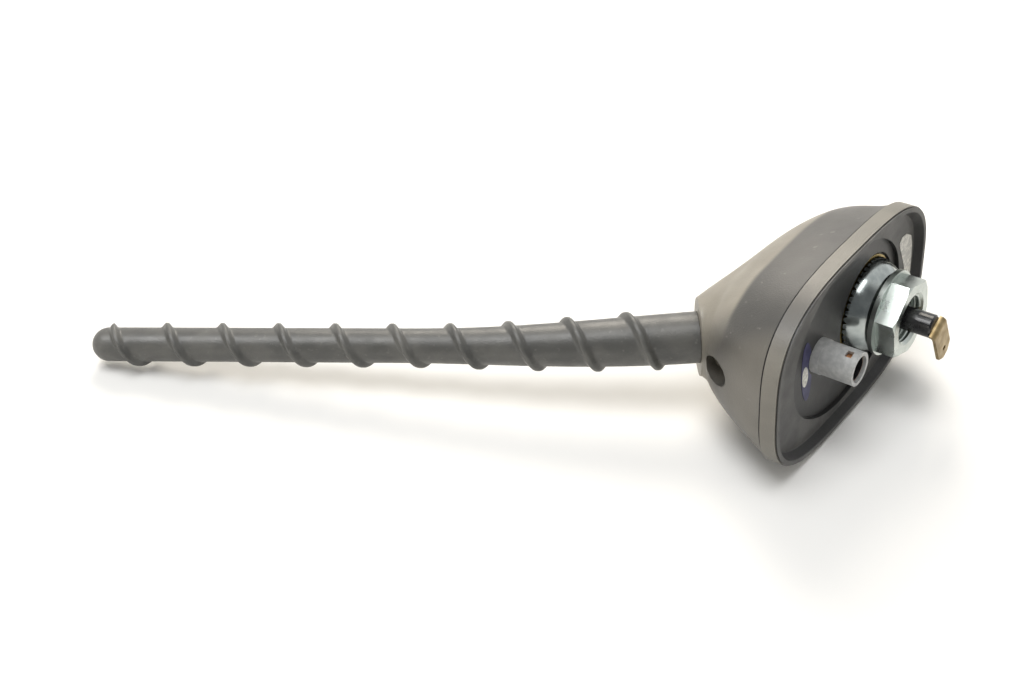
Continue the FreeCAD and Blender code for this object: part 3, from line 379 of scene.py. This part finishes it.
# %% Geometry Nodes helpers
class Tree:
    """Small wrapper for building a geometry node tree with named inputs."""

    def __init__(self, name, inputs):
        self.group = bpy.data.node_groups.new(name, "GeometryNodeTree")
        face = self.group.interface
        face.new_socket("Geometry", in_out="OUTPUT", socket_type="NodeSocketGeometry")
        self.values = inputs
        self.sockets = {}
        for key in inputs:
            item = face.new_socket(key, in_out="INPUT", socket_type="NodeSocketFloat")
            self.sockets[key] = item.identifier
        self.inputs = self.group.nodes.new("NodeGroupInput")
        self.output = self.group.nodes.new("NodeGroupOutput")

    def get(self, key):
        """Output socket of a named input."""
        return self.inputs.outputs[key]

    def node(self, kind, **links):
        """New node with its inputs set or linked by name."""
        made = self.group.nodes.new(kind)
        for key, value in links.items():
            self.plug(made.inputs[key.replace("_", " ")], value)
        return made

    def plug(self, socket, value):
        """Link a socket, or give it a plain value."""
        if isinstance(value, bpy.types.NodeSocket):
            self.group.links.new(value, socket)
        else:
            socket.default_value = value

    def math(self, operation, first, second=0.0, third=0.0):
        """Math node; returns its output."""
        made = self.group.nodes.new("ShaderNodeMath")
        made.operation = operation
        for socket, value in zip(made.inputs, (first, second, third)):
            self.plug(socket, value)
        return made.outputs[0]

    def join_xyz(self, x, y, z):
        """Vector from three numbers."""
        made = self.group.nodes.new("ShaderNodeCombineXYZ")
        for socket, value in zip(made.inputs, (x, y, z)):
            self.plug(socket, value)
        return made.outputs[0]

    def smooth(self, value, low, high):
        """Smooth step from 0 at low to 1 at high."""
        made = self.group.nodes.new("ShaderNodeMapRange")
        made.interpolation_type = "SMOOTHSTEP"
        self.plug(made.inputs["Value"], value)
        self.plug(made.inputs["From Min"], low)
        self.plug(made.inputs["From Max"], high)
        return made.outputs["Result"]

    def finish(self, geometry, material):
        """Realize, shade smooth, set the material and close the tree."""
        real = self.node("GeometryNodeRealizeInstances", Geometry=geometry)
        shade = self.node("GeometryNodeSetShadeSmooth", Geometry=real.outputs[0])
        paint = self.group.nodes.new("GeometryNodeSetMaterial")
        self.group.links.new(shade.outputs[0], paint.inputs["Geometry"])
        paint.inputs["Material"].default_value = material
        self.group.links.new(paint.outputs[0], self.output.inputs["Geometry"])

    def build(self, name, material):
        """Run the tree on an empty object and keep the result as a plain mesh."""
        mesh = bpy.data.meshes.new(name)
        piece = bpy.data.objects.new(name, mesh)
        bpy.context.scene.collection.objects.link(piece)
        modifier = piece.modifiers.new("build", "NODES")
        modifier.node_group = self.group
        for key, value in self.values.items():
            modifier[self.sockets[key]] = float(value)
        graph = bpy.context.evaluated_depsgraph_get()
        graph.update()
        made = bpy.data.meshes.new_from_object(piece.evaluated_get(graph))
        piece.modifiers.remove(modifier)
        piece.data = made
        made.name = name
        if not made.materials:
            made.materials.append(material)
        return piece


def turn_outwards(piece):
    """Merge doubles and point the normals of a closed mesh outwards."""
    work = bmesh.new()
    work.from_mesh(piece.data)
    bmesh.ops.remove_doubles(work, verts=work.verts, dist=1e-7)
    bmesh.ops.recalc_face_normals(work, faces=work.faces)
    work.to_mesh(piece.data)
    work.free()
    print(piece.name, "triangles", sum(len(face.vertices) - 2 for face in piece.data.polygons))


print("geometry helpers ready")

# %% [markdown]
# ## Mast
# The mast is the piece with a clear rule: a tapering round bar on a bent axis, with a rib that
# climbs round it at a fixed pitch. The rib could be swept along a helix and joined on, but then its
# foot would show a hard line. Here a grid of points is rolled up: one way of the grid runs along
# the mast and the other round it, and the rib is added to the radius where the climb comes past.

# %% Mast: sizes and the way along
GRID_ALONG, GRID_ROUND = 900, 73
CAP, DOME = 0.02, 0.95
mast = Tree("mast", {
    "Root x": -33.7 * MM, "Root z": 31.1 * MM,
    "Root lean": math.radians(40), "Tip lean": math.radians(32), "Bend length": 60 * MM,
    "Length": 152.28 * MM, "Root radius": 6.3 * MM, "Tip radius": 4.3 * MM,
    "Flare length": 72 * MM, "Rib pitch": 14.44 * MM, "Rib height": 1.2 * MM, "Rib foot": 3.3 * MM,
    "Rib crest": 1.1 * MM, "Rib start": 7.0 * MM, "Rib end": 147.9 * MM, "Run out": 1.6 * MM,
    "Rib at": 147.3 * MM, "Rib phase": math.radians(54),
})
m = mast.math
grid = mast.node(
    "GeometryNodeMeshGrid", Size_X=1.0, Size_Y=1.0, Vertices_X=GRID_ALONG, Vertices_Y=GRID_ROUND)
position = mast.node("GeometryNodeInputPosition").outputs[0]
place = mast.node("ShaderNodeSeparateXYZ", Vector=position)
share = m("ADD", place.outputs["X"], 0.5)
angle = m("MULTIPLY", m("ADD", place.outputs["Y"], 0.5), 2 * math.pi)
straight = m("SUBTRACT", mast.get("Length"), mast.get("Tip radius"))
run = m("DIVIDE", m("SUBTRACT", share, CAP), DOME - CAP)
run = m("MINIMUM", m("MAXIMUM", run, 0.0), 1.0)
rise = m("DIVIDE", m("MAXIMUM", m("SUBTRACT", share, DOME), 0.0), 1 - DOME)
rise = m("MULTIPLY", rise, math.pi / 2)
dome = m("MULTIPLY", m("SINE", rise), mast.get("Tip radius"))
s = m("ADD", m("MULTIPLY", run, straight), dome)
print("mast grid", GRID_ALONG, "by", GRID_ROUND)

# %% Mast: taper and rib
flare = m("MINIMUM", m("DIVIDE", s, mast.get("Flare length")), 1.0)
flare = m("MULTIPLY_ADD", m("COSINE", m("MULTIPLY", flare, math.pi)), 0.5, 0.5)
spread = m("SUBTRACT", mast.get("Root radius"), mast.get("Tip radius"))
radius = m("MULTIPLY_ADD", spread, flare, mast.get("Tip radius"))
climb = m("SUBTRACT", s, mast.get("Rib at"))
lag = m("DIVIDE", m("SUBTRACT", angle, mast.get("Rib phase")), 2 * math.pi)
climb = m("ADD", m("DIVIDE", climb, mast.get("Rib pitch")), lag)
off = m("ABSOLUTE", m("SUBTRACT", m("FRACT", m("ADD", climb, 0.5)), 0.5))
off = m("MULTIPLY", off, mast.get("Rib pitch"))
half_foot = m("MULTIPLY", mast.get("Rib foot"), 0.5)
flat_crest = m("MULTIPLY", mast.get("Rib crest"), 0.25)
rib = mast.smooth(off, half_foot, flat_crest)
rib_start, rib_end = mast.get("Rib start"), mast.get("Rib end")
full_from = m("ADD", rib_start, mast.get("Run out"))
full_until = m("SUBTRACT", rib_end, mast.get("Run out"))
rib = m("MULTIPLY", rib, mast.smooth(s, rib_start, full_from))
rib = m("MULTIPLY", rib, mast.smooth(s, rib_end, full_until))
radius = m("MULTIPLY_ADD", rib, mast.get("Rib height"), radius)
radius = m("MULTIPLY", radius, m("COSINE", rise))
radius = m("MULTIPLY", radius, m("MINIMUM", m("DIVIDE", share, CAP), 1.0))
print("mast nodes so far", len(mast.group.nodes))

# %% Mast: bent axis and result
total_bend = m("SUBTRACT", mast.get("Root lean"), mast.get("Tip lean"))
bend_radius = m("DIVIDE", mast.get("Bend length"), total_bend)
bent = m("MINIMUM", s, mast.get("Bend length"))
lean = m("SUBTRACT", mast.get("Root lean"), m("DIVIDE", bent, bend_radius))
sine, cosine = m("SINE", lean), m("COSINE", lean)
rest = m("SUBTRACT", s, bent)
x = m("MULTIPLY", bend_radius, m("SUBTRACT", m("COSINE", mast.get("Root lean")), cosine))
x = m("SUBTRACT", m("ADD", x, mast.get("Root x")), m("MULTIPLY", rest, sine))
z = m("MULTIPLY", bend_radius, m("SUBTRACT", m("SINE", mast.get("Root lean")), sine))
z = m("ADD", m("ADD", z, mast.get("Root z")), m("MULTIPLY", rest, cosine))
out = m("MULTIPLY", radius, m("COSINE", angle))
x = m("MULTIPLY_ADD", out, cosine, x)
z = m("MULTIPLY_ADD", out, sine, z)
y = m("MULTIPLY", m("MULTIPLY", radius, m("SINE", angle)), -1.0)
moved = mast.node(
    "GeometryNodeSetPosition", Geometry=grid.outputs["Mesh"], Position=mast.join_xyz(x, y, z))
merged = mast.node("GeometryNodeMergeByDistance", Geometry=moved.outputs[0], Distance=1e-6)
mast.finish(merged.outputs[0], mast_rubber.material)
mast_skin = mast.build("mast_skin", mast_rubber.material)
turn_outwards(mast_skin)
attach(mast_skin, "base")
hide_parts("mast_sheath")

# %% [markdown]
# ## Thread in the nut
# The nut's bore shows the start of its thread, which the CAD leaves out as too fine. It could be a
# bump in the material, but a real ridge catches the light at the bore's edge. A helix is swept with
# a small six-sided profile; a Geometry Nodes curve does both, and the result turns with the nut.

# %% Thread in the nut
RIDGE_RADIUS = 0.32 * MM
STEPS_PER_TURN, RIDGE_SIDES = 48, 6
thread = Tree("nut_thread", {
    "Radius": 6.05 * MM, "Pitch": 1.25 * MM, "Height": 2.5 * MM, "Low": -7.6 * MM,
})
turns = thread.math("DIVIDE", thread.get("Height"), thread.get("Pitch"))
spiral = thread.node(
    "GeometryNodeCurveSpiral", Resolution=STEPS_PER_TURN, Rotations=turns,
    Start_Radius=thread.get("Radius"), End_Radius=thread.get("Radius"),
    Height=thread.get("Height"))
lift = thread.node(
    "GeometryNodeTransform", Geometry=spiral.outputs[0],
    Translation=thread.join_xyz(0.0, 0.0, thread.get("Low")))
profile = thread.node(
    "GeometryNodeCurvePrimitiveCircle", Resolution=RIDGE_SIDES, Radius=RIDGE_RADIUS)
swept = thread.group.nodes.new("GeometryNodeCurveToMesh")
thread.group.links.new(lift.outputs[0], swept.inputs["Curve"])
thread.group.links.new(profile.outputs[0], swept.inputs["Profile Curve"])
swept.inputs["Fill Caps"].default_value = True
thread.finish(swept.outputs[0], zinc.material)
nut_thread = thread.build("nut_thread", zinc.material)
turn_outwards(nut_thread)
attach(nut_thread, "clamp_nut")

# %% [markdown]
# ## Bare labels
# Two stickers lie on the underside. They carry no words here: one is a pale strip at the nose end
# and one a small blue oval beside the connector, with a plain pale oval on it. They could be
# painted into the rubber's material, but a real sticker has an edge, so each is an outline given a
# thickness. The ovals are drawn by rule and keep off the connector's body.

# %% Bare labels
def flat_piece(name, outline, bottom, thickness, material):
    """Thin closed plate from an outline in plan, in millimetres."""
    work = bmesh.new()
    low = [work.verts.new((x * MM, y * MM, bottom * MM)) for x, y in outline]
    high = [work.verts.new((x * MM, y * MM, (bottom + thickness) * MM)) for x, y in outline]
    work.faces.new(low)
    work.faces.new(high)
    for i in range(len(outline)):
        j = (i + 1) % len(outline)
        work.faces.new((low[i], low[j], high[j], high[i]))
    mesh = bpy.data.meshes.new(name)
    work.to_mesh(mesh)
    work.free()
    mesh.materials.append(material)
    piece = bpy.data.objects.new(name, mesh)
    bpy.context.scene.collection.objects.link(piece)
    turn_outwards(piece)
    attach(piece, "base")
    return piece


def oval(centre_x, centre_y, half_x, half_y, lean, keep_off=(0, 0, 0), steps=48):
    """Points of a leaning oval that keeps off a round piece (its x, y and radius)."""
    points = []
    for i in range(steps):
        a = 2 * math.pi * i / steps
        u, v = half_x * math.cos(a), half_y * math.sin(a)
        x = centre_x + u * math.cos(lean) - v * math.sin(lean)
        y = centre_y + u * math.sin(lean) + v * math.cos(lean)
        gap = math.hypot(x - keep_off[0], y - keep_off[1])
        if gap < keep_off[2]:
            x = keep_off[0] + (x - keep_off[0]) * keep_off[2] / gap
            y = keep_off[1] + (y - keep_off[1]) * keep_off[2] / gap
        points.append((x, y))
    return points


print("label helpers ready")

# %% Bare labels in place
NOSE_STRIP = [
    (19.0, 7.5), (19.1, 3.4), (18.3, -1.4), (16.6, -5.0), (14.9, -8.1), (13.9, -10.6),
    (15.2, -11.8), (17.6, -11.6), (20.6, -9.6), (21.6, -7.2), (22.2, -3.5), (22.4, 0.5),
    (22.3, 5.0), (21.9, 7.5),
]
CONNECTOR = (-24.6, 0.0, 5.0)
OVAL_LEAN = math.radians(-6)
NOSE_BOTTOM, OVAL_BOTTOM, MARK_BOTTOM = 2.28, 3.48, 3.42
LABEL_THICK, MARK_THICK = 0.1, 0.05
label_oval = oval(-30.2, 1.6, 2.5, 9.0, OVAL_LEAN, CONNECTOR)
mark_oval = oval(-31.0, 2.6, 1.4, 3.0, OVAL_LEAN, CONNECTOR)
flat_piece("nose_label", NOSE_STRIP, NOSE_BOTTOM, LABEL_THICK, paper.material)
flat_piece("oval_label", label_oval, OVAL_BOTTOM, LABEL_THICK, blue_paper.material)
flat_piece("oval_mark", mark_oval, MARK_BOTTOM, MARK_THICK, paper.material)

# %% [markdown]
# ## Floor
# The antenna lies on its side. Turning it would take it out of its frame, so the floor is turned
# instead: UP is the floor's upward direction in the part's own frame. The floor lies just under the
# part's lowest point, so that nothing cuts into it. It is one-sided, so views from below still show
# the part.

# %% Floor
UP = Vector((0.0, -0.992, -0.126)).normalized()
FLOOR_GAP, FLOOR_REACH = 0.05 * MM, 4.0
pieces = [node for name, node in frame["nodes"].items() if name != "mast_sheath"] + [mast_skin]
lowest = min(UP.dot(vertex.co) for piece in pieces for vertex in piece.data.vertices)
floor_point = UP * (lowest - FLOOR_GAP)
floor_mesh = bpy.data.meshes.new("floor")
side = UP.orthogonal().normalized() * FLOOR_REACH
ahead = UP.cross(side)
CORNERS = ((-1, -1), (1, -1), (1, 1), (-1, 1))
corners = [floor_point + side * a + ahead * b for a, b in CORNERS]
floor_mesh.from_pydata(corners, [], [(0, 1, 2, 3)])
floor = bpy.data.objects.new("floor", floor_mesh)
bpy.context.scene.collection.objects.link(floor)
if floor_mesh.polygons[0].normal.dot(UP) < 0:
    floor_mesh.flip_normals()
floor_paint = Finish("floor_paint", (0.93, 0.93, 0.92), 0.7)
floor_paint.shader.inputs["Specular IOR Level"].default_value = 0.1
floor_nodes, floor_links = floor_paint.tree.nodes, floor_paint.tree.links
behind = floor_nodes.new("ShaderNodeNewGeometry")
clear = floor_nodes.new("ShaderNodeBsdfTransparent")
one_sided = floor_nodes.new("ShaderNodeMixShader")
floor_links.new(behind.outputs["Backfacing"], one_sided.inputs["Fac"])
floor_links.new(floor_paint.shader.outputs["BSDF"], one_sided.inputs[1])
floor_links.new(clear.outputs["BSDF"], one_sided.inputs[2])
floor_links.new(one_sided.outputs["Shader"], floor_nodes["Material Output"].inputs["Surface"])
floor_mesh.materials.append(floor_paint.material)
print("floor made at", lowest)

# %% [markdown]
# ## World
# A photo studio's white paper would need a huge sheet behind the part. A world does the same: it is
# plain white for rays from the camera. Mirror rays see it too, so that metal shows the white
# background, and see the dimmer room on the near side, which gives metal its dark faces. All other
# rays get a soft warm fill. The directions are those of the photo: to its right, down it and into
# it; AWAY is the last one laid on the floor.

# %% World
WHITE, NEAR_ROOM, WARM = (1, 1, 1), (0.22, 0.225, 0.23), (1.0, 0.985, 0.95)
WARM_FILL = 0.4
ROOM_TURN = (-0.5, 0.1)
RIGHT = Vector((0.61314, 0.06961, -0.78690))
DOWN = Vector((-0.49811, 0.80720, -0.31672))
FORWARD = Vector((0.61314, 0.58616, 0.52960))
AWAY = (FORWARD - UP * FORWARD.dot(UP)).normalized()

world = bpy.data.worlds.new("white_room")
bpy.context.scene.world = world
world.use_nodes = True
sky_nodes, sky_links = world.node_tree.nodes, world.node_tree.links
sky_nodes.clear()


def background(colour, strength=1.0):
    """One plain background of the world."""
    node = sky_nodes.new("ShaderNodeBackground")
    node.inputs["Color"].default_value = (*colour, 1.0)
    node.inputs["Strength"].default_value = strength
    return node


def either(first, second, factor):
    """The second background where the factor is 1."""
    node = sky_nodes.new("ShaderNodeMixShader")
    sky_links.new(factor, node.inputs["Fac"])
    sky_links.new(first.outputs[0], node.inputs[1])
    sky_links.new(second.outputs[0], node.inputs[2])
    return node


rays = sky_nodes.new("ShaderNodeLightPath")
mirrored = sky_nodes.new("ShaderNodeMath")
mirrored.operation = "MAXIMUM"
sky_links.new(rays.outputs["Is Glossy Ray"], mirrored.inputs[0])
sky_links.new(rays.outputs["Is Transmission Ray"], mirrored.inputs[1])
ray_way = sky_nodes.new("ShaderNodeTexCoord")
facing = sky_nodes.new("ShaderNodeVectorMath")
facing.operation = "DOT_PRODUCT"
sky_links.new(ray_way.outputs["Generated"], facing.inputs[0])
facing.inputs[1].default_value = AWAY
room = sky_nodes.new("ShaderNodeMapRange")
room.interpolation_type = "SMOOTHSTEP"
sky_links.new(facing.outputs["Value"], room.inputs["Value"])
room.inputs["From Min"].default_value, room.inputs["From Max"].default_value = ROOM_TURN
paper_side = either(background(NEAR_ROOM), background(WHITE), room.outputs["Result"])
unseen = either(background(WARM, WARM_FILL), paper_side, mirrored.outputs[0])
sky = either(unseen, background(WHITE), rays.outputs["Is Camera Ray"])
end = sky_nodes.new("ShaderNodeOutputWorld")
sky_links.new(sky.outputs[0], end.inputs["Surface"])
print("world made")

# %% [markdown]
# ## Lights
# The shadow lies close under the mast and to the right of the base, so the main light hangs above,
# to the left and a little to the front. A warm panel beyond the part gives the sheen on the roof of
# the hood and on the band, and a second one at the left lifts the tail. A small box at the upper
# left makes the bright face of the nut; it lights no matte surface, so the plastic stays dark. Each
# line gives a light's direction from the part, its distance and size in metres, and its power.

# %% Lights
CENTRE = Vector((-30 * MM, 0.0, 40 * MM))


def area_light(name, direction, distance, size, power, colour=(1.0, 1.0, 1.0)):
    """Square light that looks at the middle of the part."""
    light = bpy.data.lights.new(name, "AREA")
    light.size = size
    light.energy = power
    light.color = colour
    lamp = bpy.data.objects.new(name, light)
    bpy.context.scene.collection.objects.link(lamp)
    lamp.location = CENTRE + direction.normalized() * distance
    lamp.rotation_euler = direction.to_track_quat("Z", "Y").to_euler()
    return lamp


area_light("top_light", UP * 1.0 - RIGHT * 0.2 - AWAY * 0.15, 1.2, 0.7, 9.2)
area_light("back_panel", AWAY * 0.75 + UP * 0.66 - RIGHT * 0.1, 0.7, 0.35, 3.6, (1.0, 0.93, 0.82))
area_light("left_panel", RIGHT * -0.82 - AWAY * 0.5 + UP * 0.12, 0.8, 0.5, 2.0, (1.0, 0.95, 0.86))
left_box = area_light("left_box", RIGHT * -0.59 - DOWN * 0.52 - FORWARD * 0.61, 0.8, 0.36, 2.8)
left_box.visible_diffuse = False
print("lights made")

# %% [markdown]
# ## Camera
# The camera was worked out from the photo: where it stands, how it is turned and how long its lens
# is, so that the model's outline falls near the photo's. It could be aimed by eye, but a fitted one
# lets the render be compared with the photo spot by spot.

# %% Camera
SENSOR_WIDTH, LENS, NEAREST = 36.0, 49.22, 0.01
EYE = Vector((-270.16 * MM, -201.79 * MM, -113.6 * MM))
camera_data = bpy.data.cameras.new("camera")
camera_data.sensor_width = SENSOR_WIDTH
camera_data.lens = LENS
camera_data.clip_start = NEAREST
camera = bpy.data.objects.new("camera", camera_data)
scene = bpy.context.scene
scene.collection.objects.link(camera)
aim = Matrix((RIGHT, -DOWN, -FORWARD)).transposed()
camera.matrix_world = Matrix.Translation(EYE) @ aim.to_4x4()
scene.camera = camera
scene.view_settings.view_transform = "Standard"
print("camera placed at", tuple(EYE))
